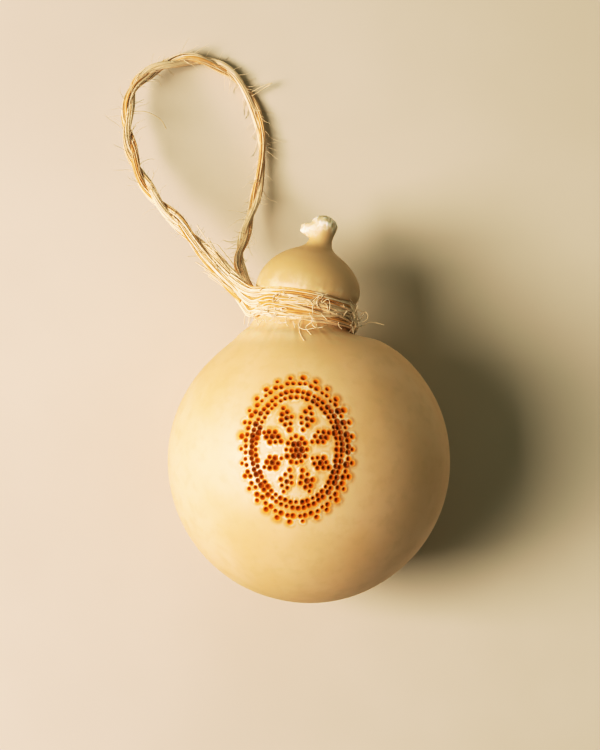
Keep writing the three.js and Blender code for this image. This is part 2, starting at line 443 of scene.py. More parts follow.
# The longer ends, as places in millimetres
LOOSE_ENDS = [
    [(-26.2, 147.0, 4.0), (-21.2, 149.5, 6.0), (-16.8, 151.0, 5.5)],
    [(-26.2, 145.2, 4.0), (-20.5, 148.6, 5.0), (-17.6, 150.2, 6.2)],
    [(-26.6, 141.4, 4.0), (-24.9, 138.4, 4.5), (-22.3, 138.1, 5.5)],
    [(-79.5, 135.6, 24.0), (-73.8, 135.3, 22.5), (-67.9, 132.2, 19.5), (-65.6, 128.4, 16.5)],
    [(-47.0, 73.5, 52.5), (-41.1, 72.9, 55.0), (-38.5, 70.3, 54.5), (-33.4, 64.1, 52.0)],
    [(-45.2, 72.0, 53.0), (-41.8, 70.8, 54.5), (-37.2, 66.0, 53.5), (-34.5, 62.6, 50.0)],
]
LONG_FIBRE_STEPS = 6


def travelled_along(line):
    """How far each point of a line lies along it."""
    lengths = np.linalg.norm(np.diff(line, axis=0), axis=1)
    return np.concatenate([[0], np.cumsum(lengths)])


def even_strand(places, steps):
    """A strand through the places whose fibres lie as twisted all along."""
    line = smooth_line(places, steps)
    return np.column_stack([line, np.ones(len(line))])


def long_strands(ends):
    """A strand for each loose end, whose places are in millimetres."""
    return [even_strand(np.array(end) * MM, LONG_FIBRE_STEPS) for end in ends]


def frayed_strands():
    """Fibres beside the open end of the loop, each a little further from it as it runs up the loop."""
    draw = np.random.default_rng(FRAY_SEED)
    travelled = travelled_along(loop_path)
    shares = np.linspace(0, 1, FRAY_STOPS)
    strands = []
    for _ in range(FRAY_COUNT):
        start = draw.uniform(*FRAY_START)
        side = draw.choice(FRAY_SIDES)
        reach = draw.uniform(*FRAY_REACH)
        stops = start + shares * draw.uniform(*FRAY_RUN)
        places = np.stack([np.interp(stops, travelled, values) for values in loop_path.T], axis=-1)
        ahead = np.gradient(places, axis=0)
        aside = np.stack([-ahead[:, 1], ahead[:, 0]], axis=-1)
        aside /= np.linalg.norm(aside, axis=1, keepdims=True)
        leaving = FRAY_FOOT + (reach - FRAY_FOOT) * shares ** draw.uniform(*FRAY_BEND)
        places[:, :2] += side * leaving[:, None] * aside
        places[:, 2] += draw.uniform(*FRAY_RISE)
        strands.append(even_strand(places, SHORT_FIBRE_STEPS))
    return strands


# How a hair stands: how far it leans in radians, its waves per metre, its tone, how thin its tip is, and
# how low it may lie
HAIR_LEAN = (0.2, 1.1)
HAIR_WAVES = 110.0
HAIR_TONE = 0.95
HAIR_TIP = 0.4
HAIR_LOWEST = 0.1 * MM


def hair_tree():
    """Fine bent hairs that leave a route at all sides, each with its foot on the route."""
    bench, given, result = new_tree("fine_hairs", {
        "Count": "Int",
        "Shortest": "Float",
        "Longest": "Float",
        "Hair Radius": "Float",
        "Curl": "Float",
        "Seed": "Int",
        "Material": "Material",
    })
    route = bench.add("GeometryNodeMeshToCurve", {"Mesh": given["Geometry"]})
    counted = {"Curve": route, "Count": given["Count"]}
    feet = bench.add("GeometryNodeCurveToPoints", counted, mode="COUNT").node
    item = bench.add("GeometryNodeInputIndex", {})

    def seeded(low, high, shift):
        return bench.chance(low, high, item, bench.plus(given["Seed"], shift))

    hair = bench.add("GeometryNodeCurveQuadraticBezier", {
        "Resolution": 8, "Start": (0, 0, 0), "Middle": (0.1, 0.0, 0.55), "End": (0.5, 0.0, 0.85)})
    lean = bench.joined(seeded(*HAIR_LEAN, 1), 0.0, seeded(0.0, 2 * math.pi, 2))
    leaning = bench.add("FunctionNodeEulerToRotation", {0: lean})
    heading = bench.add("FunctionNodeRotateRotation", {
        "Rotation": feet.outputs["Rotation"], "Rotate By": leaning}, rotation_space="LOCAL")
    size = seeded(given["Shortest"], given["Longest"], 3)
    stood = bench.add("GeometryNodeInstanceOnPoints", {
        "Points": feet.outputs["Points"], "Instance": hair, "Rotation": heading, "Scale": size})
    real = bench.add("GeometryNodeRealizeInstances", {"Geometry": stood})
    outward = bench.add("GeometryNodeSplineParameter", {})
    along = bench.add("GeometryNodeSplineParameter", {}, output=1)
    place = bench.add("GeometryNodeInputPosition", {})
    swing = bench.vector("SUBTRACT", bench.noise(place, HAIR_WAVES, 1.0, output=1), (0.5, 0.5, 0.5))
    bending = bench.scaled(swing, bench.times(outward, given["Curl"]))
    curled = bench.add("GeometryNodeSetPosition", {"Geometry": real, "Offset": bending})
    toned = bench.stored(curled, "tone", HAIR_TONE)
    run = bench.stored(toned, "run", along)
    section = bench.add("GeometryNodeCurvePrimitiveCircle", {"Resolution": 3, "Radius": 1.0})
    taper = bench.times(given["Hair Radius"], bench.eased(outward, 0.0, 1.0, 1.0, HAIR_TIP))
    solid = bench.add("GeometryNodeCurveToMesh", {
        "Curve": run, "Profile Curve": section, "Scale": taper, "Fill Caps": True})
    return close_tree(bench, solid, [(given["Material"], True)], result)


def keep_above_table(piece, lowest):
    """Lifts every point of a piece that is lower than that."""
    for corner in piece.data.vertices:
        corner.co.z = max(corner.co.z, lowest)


loose = straw_piece("loop_loose_fibres", frayed_strands() + long_strands(LOOSE_ENDS), LAY_LENGTH, {
    "Fibres": 2,
    "Ply Radius": 0.22 * MM,
    "Fibre Radius": 0.19 * MM,
    "Wander": 0.3 * MM,
    "Paleness": 0.2,
    "Step": 1.0 * MM,
    "Seed": 17,
})
hairs = grown("loop_hairs", chain_object("hair_route", [loop_strand], LAY_LENGTH), hair_tree(), {
    "Count": 420,
    "Shortest": 2.5 * MM,
    "Longest": 13 * MM,
    "Hair Radius": 0.14 * MM,
    "Curl": 9 * MM,
    "Seed": 41,
    "Material": straw,
})
for fibres in (loose, hairs):
    keep_above_table(fibres, HAIR_LOWEST)
    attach(fibres, "root")

# The binding round the neck
# The same twine, led in from the open end of the loop, wound nearly three times round the neck and
# pulled tight, so that its fibres lie flat beside each other. A last strand crosses it at the right.
BALL_RADIUS = 62 * MM
REST_DEPTH = 1.8 * MM
BALL_CENTRE = Vector((0, -22.6 * MM, BALL_RADIUS - REST_DEPTH))
NECK_HEIGHT = 65.3 * MM
NECK_LOW = NECK_HEIGHT - 4.9 * MM
NECK_LOW_RADIUS = 21.4 * MM
NECK_HIGH = NECK_HEIGHT + 4.5 * MM
NECK_HIGH_RADIUS = 19.6 * MM
NECK_SHIFT = -2.2 * MM
NECK_CENTRE = Vector((NECK_SHIFT, NECK_HEIGHT, 0))
NECK_LEAN = math.radians(8.4)
LEAN_AXIS = Vector((-0.5, 0, -1)).normalized()
WRAP_DIAMETER = 3.9 * MM
WRAP_PITCH = 3.9 * MM
WRAP_TURNS = 2.66
WRAP_START_ANGLE = math.radians(150)
WRAP_START_HEIGHT = 5.7 * MM
WRAP_STEPS = 60
WRAP_LAY = 95 * MM
WRAP_WAVER = 0.35 * MM
WAVERS_PER_TURN = 1.7
WAVER_START = 0.6
WRAP_TUCK_TURN = 0.12
WRAP_TUCK_RISE = 2.4 * MM
WRAP_TUCK_DEPTH = 3.0 * MM

# The lead-in, from the loop's open end to the winding: places in metres and how far the fibres spread
LEAD_IN = [
    (-0.0352, 0.0580, 0.0582, 1.30),
    (-0.0312, 0.0548, 0.0620, 1.35),
    (-0.0275, 0.0525, 0.0657, 1.25),
    (-0.0240, 0.0514, 0.0688, 1.10),
]

# The middle and the lower fibres of the lead-in, and how they then run over the winding: angle round
# the neck in degrees, height in mm, and spread
MIDDLE_LEAD_IN = [
    (-0.0355, 0.0568, 0.0578, 0.80),
    (-0.0314, 0.0524, 0.0622, 0.90),
    (-0.0276, 0.0488, 0.0662, 0.90),
    (-0.0238, 0.0468, 0.0700, 0.80),
]
MIDDLE_COURSE = [(134, 2.6, 0.75), (118, 2.0, 0.65), (100, 2.2, 0.5), (82, 1.6, 0.4), (64, 1.2, 0.3)]
LOWER_LEAD_IN = [
    (-0.0350, 0.0550, 0.0578, 0.80),
    (-0.0312, 0.0500, 0.0620, 0.90),
    (-0.0282, 0.0455, 0.0652, 0.90),
    (-0.0250, 0.0422, 0.0692, 0.80),
]
LOWER_COURSE = [(132, -0.6, 0.75), (115, -1.2, 0.7), (98, -1.4, 0.6), (80, -1.6, 0.45), (62, -1.8, 0.3)]
COURSE_LIFT = 0.6 * MM
COURSE_STEPS = 4

# The twine from the loop's other end, which goes under the winding at the left: places in metres, and
# spread
END_LEAD_IN = [
    (-0.0303, 0.0632, 0.0390, 0.70),
    (-0.0283, 0.0574, 0.0442, 0.80),
    (-0.0252, 0.0514, 0.0484, 0.90),
]

# Where it goes under, and the strand across the binding: angle round the neck in degrees, height and
# height off the winding in mm
END_TUCK = [(203.5, 4.4, 2.2), (202, 2.4, 0.2), (200, 0.5, -1.2)]
END_SPREAD = 0.8
CROSSING = [(32, 5.5, 0.2), (27, 3.0, 1.2), (23, -0.5, 1.5), (21, -4.0, 1.2), (22, -7.0, 0.2)]
CROSSING_SPREAD = 0.55

# From the winding's own frame, with the neck's axis upright, to the cheese as it lies
winding_frame = (
    Matrix.Translation(BALL_CENTRE)
    @ Matrix.Translation(NECK_CENTRE)
    @ Matrix.Rotation(NECK_LEAN, 4, LEAN_AXIS)
    @ Matrix.Rotation(math.radians(-90), 4, "X")
)


def smooth_share(value, low, high):
    """0 up to the low value, 1 from the high one on, and eased between them."""
    share = np.clip((value - low) / (high - low), 0, 1)
    return share * share * (3 - 2 * share)


def round_neck(angle, height, lift=0.0):
    """A place on the winding's middle surface, or lifted off it, in the winding's own frame."""
    slope = (NECK_LOW_RADIUS - NECK_HIGH_RADIUS) / (NECK_HIGH - NECK_LOW)
    radius = NECK_HIGH_RADIUS + slope * (NECK_HIGH - NECK_HEIGHT - height) + WRAP_DIAMETER / 2 + lift
    return radius * math.cos(angle), -radius * math.sin(angle), height


def led_in(places, course=()):
    """A strand's places in the winding's own frame: free places, then a course over the winding."""
    to_winding = winding_frame.inverted()
    strand = [(*(to_winding @ Vector(place[:3])), place[3]) for place in places]
    for degrees, height, spread in course:
        strand.append((*round_neck(math.radians(degrees), height * MM, COURSE_LIFT), spread))
    return strand


def laid_on(places, spread):
    """A strand's places over or under the winding."""
    strand = []
    for degrees, height, lift in places:
        strand.append((*round_neck(math.radians(degrees), height * MM, lift * MM), spread))
    return strand


def winding_strands():
    """The winding with its lead-in, the fibres beside it, the loop's end, and the strand across."""
    strand = led_in(LEAD_IN)
    middle = led_in(MIDDLE_LEAD_IN, MIDDLE_COURSE)
    lower = led_in(LOWER_LEAD_IN, LOWER_COURSE)
    for step in range(WRAP_STEPS + 1):
        turned = WRAP_TURNS * step / WRAP_STEPS
        waver = WRAP_WAVER * math.sin(2 * math.pi * turned * WAVERS_PER_TURN + WAVER_START)
        tucked = smooth_share(turned, WRAP_TURNS - WRAP_TUCK_TURN, WRAP_TURNS)
        height = WRAP_START_HEIGHT - WRAP_PITCH * turned + waver + WRAP_TUCK_RISE * tucked
        angle = WRAP_START_ANGLE - 2 * math.pi * turned
        strand.append((*round_neck(angle, height, -WRAP_TUCK_DEPTH * tucked), 1.0))
    ending = led_in(END_LEAD_IN) + laid_on(END_TUCK, END_SPREAD)
    crossing = laid_on(CROSSING, CROSSING_SPREAD)
    return [smooth_line(places, COURSE_STEPS) for places in (strand, middle, lower, ending, crossing)]


binding = straw_piece("twine_binding", winding_strands(), WRAP_LAY, {
    "Fibres": 54,
    "Plies": 2,
    "Ply Offset": 0.75 * MM,
    "Ply Radius": 1.45 * MM,
    "Fibre Radius": 0.33 * MM,
    "Wander": 0.9 * MM,
    "Width": 0.72,
    "Depth": 1.1,
    "Upright": 1.0,
    "Paleness": -0.02,
    "Step": 1.6 * MM,
    "Seed": 23,
})
binding.data.transform(winding_frame)
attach(binding, "root")
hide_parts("binding")

# Fibres that run across the binding
# Thin bundles of the same straw that have slipped out of their turns: each lies aslant over the others
# and goes back under them at both ends.
SLANT_RISE = 1.2 * MM
SLANT_TUCK = 1.0 * MM
SLANT_STOPS = 9

# The bundles: from and to which place on the winding, as degrees round it and mm along the neck
SLANTS = [
    ((168, -4.5), (78, 3.8)),
    ((150, 4.2), (42, -4.0)),
    ((122, 5.2), (20, -1.0)),
    ((140, -1.0), (58, 5.0)),
    ((104, -5.6), (16, 1.5)),
    ((92, 2.4), (8, -5.0)),
    ((172, 1.0), (90, -5.2)),
    ((62, 4.6), (2, 0.0)),
    ((80, -2.2), (10, 4.0)),
    ((352, 3.0), (250, -4.0)),
    ((262, -3.0), (186, 4.0)),
    ((305, 5.0), (205, -2.0)),
]


def slanting_strands():
    """The bundles as strands that rise over the winding and tuck under it at both ends."""
    strands = []
    for start, stop in SLANTS:
        places = []
        for share in np.linspace(0, 1, SLANT_STOPS):
            degrees, height = (1 - share) * np.array(start) + share * np.array(stop)
            bow = math.sin(math.pi * share)
            lift = SLANT_RISE * math.sqrt(bow) - SLANT_TUCK * (1 - bow)
            places.append((*round_neck(math.radians(degrees), height * MM, lift), 1.0))
        strands.append(smooth_line(places, COURSE_STEPS))
    return strands


slanting = straw_piece("binding_slant_fibres", slanting_strands(), LAY_LENGTH, {
    "Fibres": 9,
    "Ply Radius": 0.8 * MM,
    "Fibre Radius": 0.27 * MM,
    "Wander": 0.9 * MM,
    "Depth": 0.6,
    "Upright": 1.0,
    "Paleness": -0.04,
    "Step": 1.6 * MM,
    "Seed": 37,
})
slanting.data.transform(winding_frame)
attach(slanting, "root")

# Fibre ends that stand off the binding
# Broken and cut ends of the same straw fibres, which have sprung out of the winding: long curled ones,
# most of them at the right, tufts that hang over its lower edge, and short fuzz all over its upper side.
FUZZ_SEED = 31
FUZZ_COUNT = 52
FUZZ_LENGTH = (2.0 * MM, 5.5 * MM)
FUZZ_ANGLES = (math.radians(8), math.radians(172))
FUZZ_HEIGHTS = (-6.5 * MM, 6.0 * MM)
TUFT_COUNT = 14
TUFT_LENGTH = (1.8 * MM, 4.0 * MM)
TUFT_ANGLES = (math.radians(75), math.radians(150))
TUFT_HEIGHT = -6.6 * MM
TUFT_STRAY = 0.4
SPRUNG_FOOT = WRAP_DIAMETER / 3
SPRUNG_BEND = 1.3
SPRUNG_RISE = (0.05, 0.4)
SPRUNG_STOPS = (0.0, 0.35, 0.7, 1.0)

# The long ends, as places in millimetres
SPRUNG_ENDS = [
    [(17.6, 39.3, 72.0), (19.4, 41.4, 71.0), (21.3, 45.3, 70.0)],
    [(17.8, 38.5, 72.0), (22.6, 36.2, 66.0), (26.9, 38.4, 62.0), (33.0, 37.2, 60.0)],
    [(17.5, 36.2, 71.0), (21.0, 35.8, 67.0), (23.6, 37.1, 64.0)],
    [(16.6, 40.6, 74.5), (20.1, 37.9, 70.0), (24.5, 38.8, 67.0), (25.8, 41.0, 66.0),
     (24.5, 42.8, 66.0), (22.6, 41.6, 66.0)],
    [(18.4, 42.4, 72.0), (21.6, 43.6, 68.0), (24.0, 41.9, 66.0), (22.4, 39.4, 66.0),
     (19.6, 38.0, 70.0)],
    [(19.8, 35.0, 68.0), (16.2, 36.6, 74.0), (14.9, 39.7, 76.0), (16.4, 42.6, 75.5)],
    [(17.9, 39.7, 72.5), (19.4, 36.2, 70.0), (16.6, 33.2, 73.0)],
    [(14.2, 41.6, 77.0), (17.4, 43.2, 74.5), (20.0, 40.6, 71.0), (18.6, 37.8, 72.0)],
    [(-0.1, 42.0, 86.0), (1.3, 38.3, 86.8), (-1.5, 35.7, 86.0), (0.8, 32.3, 90.2)],
    [(-3.4, 40.4, 86.0), (-4.4, 35.7, 85.6), (-3.6, 32.3, 90.2), (-2.2, 29.7, 94.0)],
    [(-4.8, 38.0, 86.0), (-4.2, 35.6, 86.2), (-1.6, 34.6, 87.6), (1.8, 35.2, 87.4)],
    [(5.5, 46.1, 83.4), (8.0, 47.8, 83.8), (8.9, 45.7, 83.0), (8.5, 42.7, 82.4)],
    [(1.6, 46.9, 85.0), (4.2, 49.0, 85.4), (8.1, 50.0, 83.6)],
    [(-25.9, 42.8, 66.0), (-28.1, 41.1, 62.0), (-28.6, 37.7, 58.0)],
    [(-24.1, 41.9, 69.0), (-26.3, 40.2, 64.0), (-26.8, 36.7, 61.0)],
]


def sprung_strand(draw, angle, height, heading, length):
    """A short fibre with its foot on the winding, which bends as it rises off it."""
    bend = draw.uniform(-SPRUNG_BEND, SPRUNG_BEND)
    rise = draw.uniform(*SPRUNG_RISE) * length
    places = []
    for share in SPRUNG_STOPS:
        reach = length * share
        course = heading + bend * share
        turned = angle + reach * math.cos(course) / NECK_LOW_RADIUS
        risen = height + reach * math.sin(course)
        places.append(winding_frame @ Vector(round_neck(turned, risen, SPRUNG_FOOT + rise * share)))
    return even_strand(places, SHORT_FIBRE_STEPS)


def sprung_strands():
    """The long ends, the fuzz, and the tufts that hang over the lower edge."""
    draw = np.random.default_rng(FUZZ_SEED)
    strands = long_strands(SPRUNG_ENDS)
    for _ in range(FUZZ_COUNT):
        foot = draw.uniform(*FUZZ_ANGLES), draw.uniform(*FUZZ_HEIGHTS)
        heading = draw.uniform(0, 2 * math.pi)
        strands.append(sprung_strand(draw, *foot, heading, draw.uniform(*FUZZ_LENGTH)))
    for _ in range(TUFT_COUNT):
        foot = draw.uniform(*TUFT_ANGLES), TUFT_HEIGHT
        downward = -math.pi / 2 + draw.uniform(-TUFT_STRAY, TUFT_STRAY)
        strands.append(sprung_strand(draw, *foot, downward, draw.uniform(*TUFT_LENGTH)))
    return strands


sprung = straw_piece("binding_loose_fibres", sprung_strands(), LAY_LENGTH, {
    "Fibres": 1,
    "Ply Radius": 0.05 * MM,
    "Fibre Radius": 0.26 * MM,
    "Wander": 0.2 * MM,
    "Paleness": 0.12,
    "Step": 0.8 * MM,
    "Seed": 29,
})
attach(sprung, "root")

# The cheese
# One piece of stretched curd, drawn by hand into a ball with a neck, a domed head and a pinched-off
# stub, then brined and waxed. A hot iron has burnt a mark of small pits into its upper side.
SHOULDER_ANGLE = math.radians(62)
STUB_BASE = NECK_HEIGHT + 32 * MM
EAR_HEIGHT = NECK_HEIGHT + 36.4 * MM
EAR_SPAN = 2.7 * MM
EAR_REACH = 4.6 * MM
EAR_NARROWNESS = 5
EAR_SQUARENESS = 6
TEAR_FROM = STUB_BASE + 3 * MM
TEAR_FULL = STUB_BASE + 9 * MM
KNOT_PULL = 0.38

# The outline's knots above the shoulder: radius, height above the ball's centre, and heading in degrees
OUTLINE_KNOTS = [
    (NECK_LOW_RADIUS, NECK_LOW, 101),
    (NECK_HIGH_RADIUS, NECK_HIGH, 96),
    (22.0 * MM, NECK_HEIGHT + 6.8 * MM, 68),
    (22.8 * MM, NECK_HEIGHT + 9.6 * MM, 92),
    (14.5 * MM, NECK_HEIGHT + 24.2 * MM, 141),
    (5.0 * MM, STUB_BASE + 1 * MM, 93),
    (5.8 * MM, NECK_HEIGHT + 39.4 * MM, 80),
    (0.0, NECK_HEIGHT + 44 * MM, 180),
]
HEAD_LEAN = math.radians(14.5)
HEAD_LEAN_SPAN = 14 * MM
LEAN_FROM = NECK_HEIGHT - 13 * MM
SHIFT_FROM = NECK_HEIGHT - 20 * MM
BALL_RING_SPACING = 2.0 * MM
NECK_RING_SPACING = 0.7 * MM
LEAST_RINGS = 4
LATHE_SEGMENTS = 220

# The pleats that the binding draws into the skin: how many round the neck, and where each set starts
PLEATS = [(29, 0.4), (41, 2.1), (57, 4.0)]
PLEAT_PLACES = [(NECK_HEIGHT - 9 * MM, 0.24 * MM), (NECK_HEIGHT + 8 * MM, 0.1 * MM)]
PLEAT_SPAN = 4.5 * MM
PLEAT_SIDE = math.radians(-50)
PLEAT_MEAN = 0.6
PLEAT_SWING = 0.4


def direction(angle):
    """A step of length 1 at an angle."""
    return np.array((math.cos(angle), math.sin(angle)))


def cheese_outline():
    """Half of the cheese's outline, as radius and height, from under the ball to just below its tip."""
    arc = BALL_RADIUS * (SHOULDER_ANGLE + math.pi / 2)
    angles = np.linspace(-math.pi / 2, SHOULDER_ANGLE, round(arc / BALL_RING_SPACING))
    points = [BALL_RADIUS * direction(angle) for angle in angles[1:]]
    heading = SHOULDER_ANGLE + math.pi / 2
    for radius, height, degrees in OUTLINE_KNOTS:
        start = points[-1]
        stop = np.array((radius, height))
        chord = np.linalg.norm(stop - start)
        leaving = start + KNOT_PULL * chord * direction(heading)
        heading = math.radians(degrees)
        arriving = stop - KNOT_PULL * chord * direction(heading)
        steps = max(LEAST_RINGS, round(chord / NECK_RING_SPACING))
        for share in np.arange(1, steps + 1) / steps:
            rest = 1 - share
            near = rest ** 3 * start + 3 * rest ** 2 * share * leaving
            points.append(near + 3 * rest * share ** 2 * arriving + share ** 3 * stop)
    return np.array(points[:-1])


def turned_cheese():
    """Rings of points about the axis, with the two poles last, in the ball's frame."""
    outline = cheese_outline()
    angles = 2 * math.pi * np.arange(LATHE_SEGMENTS) / LATHE_SEGMENTS
    x = outline[:, :1] * np.sin(angles)
    y = np.repeat(outline[:, 1:], LATHE_SEGMENTS, axis=1)
    z = outline[:, :1] * np.cos(angles)
    rings = np.stack([x, y, z], axis=-1).reshape(-1, 3)
    poles = np.array([(0, -BALL_RADIUS, 0), (0, OUTLINE_KNOTS[-1][1], 0)])
    return np.vstack([rings, poles]), len(outline)


def axis_distance(points):
    """How far each point is from the cheese's axis, and never quite nothing."""
    return np.maximum(np.hypot(points[:, 0], points[:, 2]), 1e-9)


def pleat_neck(points):
    """Draws the skin into pleats beside the binding. Gives each point's nearness to it, from 0 to 1."""
    angle = np.arctan2(points[:, 0], points[:, 2])
    waves = sum(np.sin(count * angle + start) for count, start in PLEATS) / len(PLEATS)
    waves *= PLEAT_MEAN + PLEAT_SWING * np.cos(angle - PLEAT_SIDE)
    nearness = np.zeros(len(points))
    depth = np.zeros(len(points))
    for height, deepest in PLEAT_PLACES:
        near = np.exp(-(((points[:, 1] - height) / PLEAT_SPAN) ** 2))
        nearness += near
        depth += deepest * near
    grown_by = 1 + depth * waves / axis_distance(points)
    points[:, 0] *= grown_by
    points[:, 2] *= grown_by
    return nearness


def pull_ear(points):
    """Draws the stub's torn edge out into a square ear. Gives each point's share of it, from 0 to 1."""
    sideways = np.maximum(0, -points[:, 0] / axis_distance(points)) ** EAR_NARROWNESS
    along = np.exp(-(((points[:, 1] - EAR_HEIGHT) / EAR_SPAN) ** EAR_SQUARENESS))
    pulled = np.where(points[:, 1] >= STUB_BASE, sideways * along, 0)
    points[:, 0] -= EAR_REACH * pulled
    return pulled


def lean_head(points):
    """Moves the neck aside, and leans neck and head about the neck's centre."""
    height = points[:, 1].copy()
    angle = NECK_LEAN * smooth_share(height, LEAN_FROM, NECK_LOW)
    angle += (HEAD_LEAN - NECK_LEAN) * smooth_share(height, NECK_HIGH, NECK_HIGH + HEAD_LEAN_SPAN)
    points[:, 0] += NECK_SHIFT * smooth_share(height, SHIFT_FROM, NECK_LOW)
    centre = np.array(NECK_CENTRE)
    axis = np.array(LEAN_AXIS)
    arm = points - centre
    cosine = np.cos(angle)[:, None]
    sine = np.sin(angle)[:, None]
    on_axis = (arm @ axis)[:, None] * axis
    points[:] = centre + arm * cosine + np.cross(axis, arm) * sine + on_axis * (1 - cosine)


# The burnt mark: an oval rosette of close-set pits, laid out by shares of the oval's size. Its heart is
# a knot of dots, round it stand petals, then a double ring, then rays of three dots.
MARK_CENTRE = np.array((-5.3 * MM, 7 * MM))
MARK_HALF_SIZE = np.array((24 * MM, 31 * MM))
MARK_MARGIN = 4 * MM
MARK_CUTS = 6
DOT_GAP = 2.4 * MM
DOT_STRAY = 0.22 * MM
MARK_SEED = 3
OVAL_STEPS = 720
CROWD_REACH = 3.0 * MM
CROWD_FULL = 5
HEART_ROWS = [(0.0, 1), (0.09, 6), (0.175, 12)]
PETALS = 8
PETAL_ROWS = [(0.29, 1), (0.37, 2), (0.45, 3), (0.53, 2), (0.6, 1)]
RING_ROWS = [(0.7, 52), (0.775, 57)]
RAYS = 30
RAY_ROWS = [(0.885, 2), (0.965, 1)]


def even_oval(count):
    """Points of the mark's oval at even distances along it, as shares of its half size."""
    angles = np.linspace(0, 2 * math.pi, OVAL_STEPS + 1)
    shares = np.stack([np.cos(angles), np.sin(angles)], axis=-1)
    travelled = travelled_along(shares * MARK_HALF_SIZE)
    stops = np.interp(np.arange(1, count + 1) / count * travelled[-1], travelled, angles)
    return [direction(angle) for angle in stops]


def dot_row(end, share, count):
    """A row of dots across the line from the mark's centre to a point of its oval."""
    middle = share * end * MARK_HALF_SIZE
    across = np.array((-middle[1], middle[0])) / np.linalg.norm(middle)
    return [middle + DOT_GAP * (dot - (count - 1) / 2) * across for dot in range(count)]


def mark_dots():
    """The places of the mark's pits on the ball as it lies, and how crowded each one stands."""
    flat = []
    for share, count in HEART_ROWS:
        flat += [share * direction(2 * math.pi * dot / count) * MARK_HALF_SIZE for dot in range(count)]
    for petal in range(PETALS):
        end = direction(2 * math.pi * (petal + 0.5) / PETALS)
        for share, count in PETAL_ROWS:
            flat += dot_row(end, share, count)
    for share, count in RING_ROWS:
        flat += [share * end * MARK_HALF_SIZE for end in even_oval(count)]
    for end in even_oval(RAYS):
        for share, count in RAY_ROWS:
            flat += dot_row(end, share, count)
    draw = np.random.default_rng(MARK_SEED)
    flat = np.array(flat) + MARK_CENTRE + draw.uniform(-DOT_STRAY, DOT_STRAY, (len(flat), 2))
    rise = np.sqrt(BALL_RADIUS ** 2 - (flat ** 2).sum(axis=1))
    apart = np.linalg.norm(flat[:, None] - flat[None], axis=-1)
    crowd = ((apart < CROWD_REACH).sum(axis=1) - 1) / CROWD_FULL
    return np.column_stack([flat, rise]) + np.array(BALL_CENTRE), np.minimum(crowd, 1.0)


def refine_mark(mesh):
    """Splits the faces where the mark goes, rounds them onto the ball, and turns all faces outwards."""
    shaped = bmesh.new()
    shaped.from_mesh(mesh)
    reach = MARK_HALF_SIZE + MARK_MARGIN

    def in_mark(place):
        flat = (np.array(place.xy) - np.array(BALL_CENTRE.xy) - MARK_CENTRE) / reach
        return place.z > BALL_CENTRE.z and flat @ flat < 1

    marked = [face for face in shaped.faces if in_mark(face.calc_center_median())]
    edges = list({edge for face in marked for edge in face.edges})
    split = bmesh.ops.subdivide_edges(shaped, edges=edges, cuts=MARK_CUTS, use_grid_fill=True)
    for corner in split["geom_inner"]:
        if isinstance(corner, bmesh.types.BMVert):
            corner.co = BALL_CENTRE + BALL_RADIUS * (corner.co - BALL_CENTRE).normalized()
    bmesh.ops.recalc_face_normals(shaped, faces=shaped.faces)
    shaped.to_mesh(mesh)
    shaped.free()


def cheese_mesh():
    """The cheese before its relief: turned, pleated, eared, leaning, and finer where the mark goes."""
    points, ring_count = turned_cheese()
    drawn = pleat_neck(points)
    eared = pull_ear(points)
    torn = np.maximum(smooth_share(points[:, 1], TEAR_FROM, TEAR_FULL), np.sqrt(eared))
    head = smooth_share(points[:, 1], NECK_LOW, NECK_HIGH)
    lean_head(points)
    points += np.array(BALL_CENTRE)
    foot, top = len(points) - 2, len(points) - 1
    faces = []
    for step in range(LATHE_SEGMENTS):
        after = (step + 1) % LATHE_SEGMENTS
        faces.append((foot, after, step))
        for ring in range(ring_count - 1):
            low = ring * LATHE_SEGMENTS
            high = low + LATHE_SEGMENTS
            faces.append((low + step, low + after, high + after, high + step))
        last = (ring_count - 1) * LATHE_SEGMENTS
        faces.append((last + step, last + after, top))
    mesh = bpy.data.meshes.new("cheese_form")
    mesh.from_pydata(points.tolist(), [], faces)
    for label, values in (("torn", torn), ("drawn", drawn), ("head", head)):
        keep_values(mesh, label, values)
    refine_mark(mesh)
    return mesh


# How fine the rind's unevenness is, from slow swells to the grain of the wax: waves per metre
SWELL_SCALE = 22.0
CLOUD_SCALE = 30.0
MOTTLE_SCALE = 160.0
SHRED_SCALE = 420.0
BUBBLE_SCALE = 600.0
GRAIN_SCALE = 1400.0

# How the pits differ: their size, and how deeply they are charred
PIT_SIZES = (0.75, 1.2)
PIT_CHAR = (0.45, 1.0)

# Where a pit's wall, its raised lip, its burn and its melted surround begin and end, in pit radii
PIT_WALL = (1.2, 0.2)
LIP_INSIDE = (0.9, 1.5)
LIP_OUTSIDE = (3.2, 1.6)
BURN_EDGE = (2.3, 0.6)
MELT_EDGE = (4.6, 1.8)

# Where soot lies, in the pit and in the gaps of a crowd, and from which burn on the rind is dull
SOOT_EDGE = (1.1, 0.3)
GAP_INSIDE = (0.6, 1.1)
GAP_OUTSIDE = (2.0, 1.5)
BURNT_FROM = 0.4


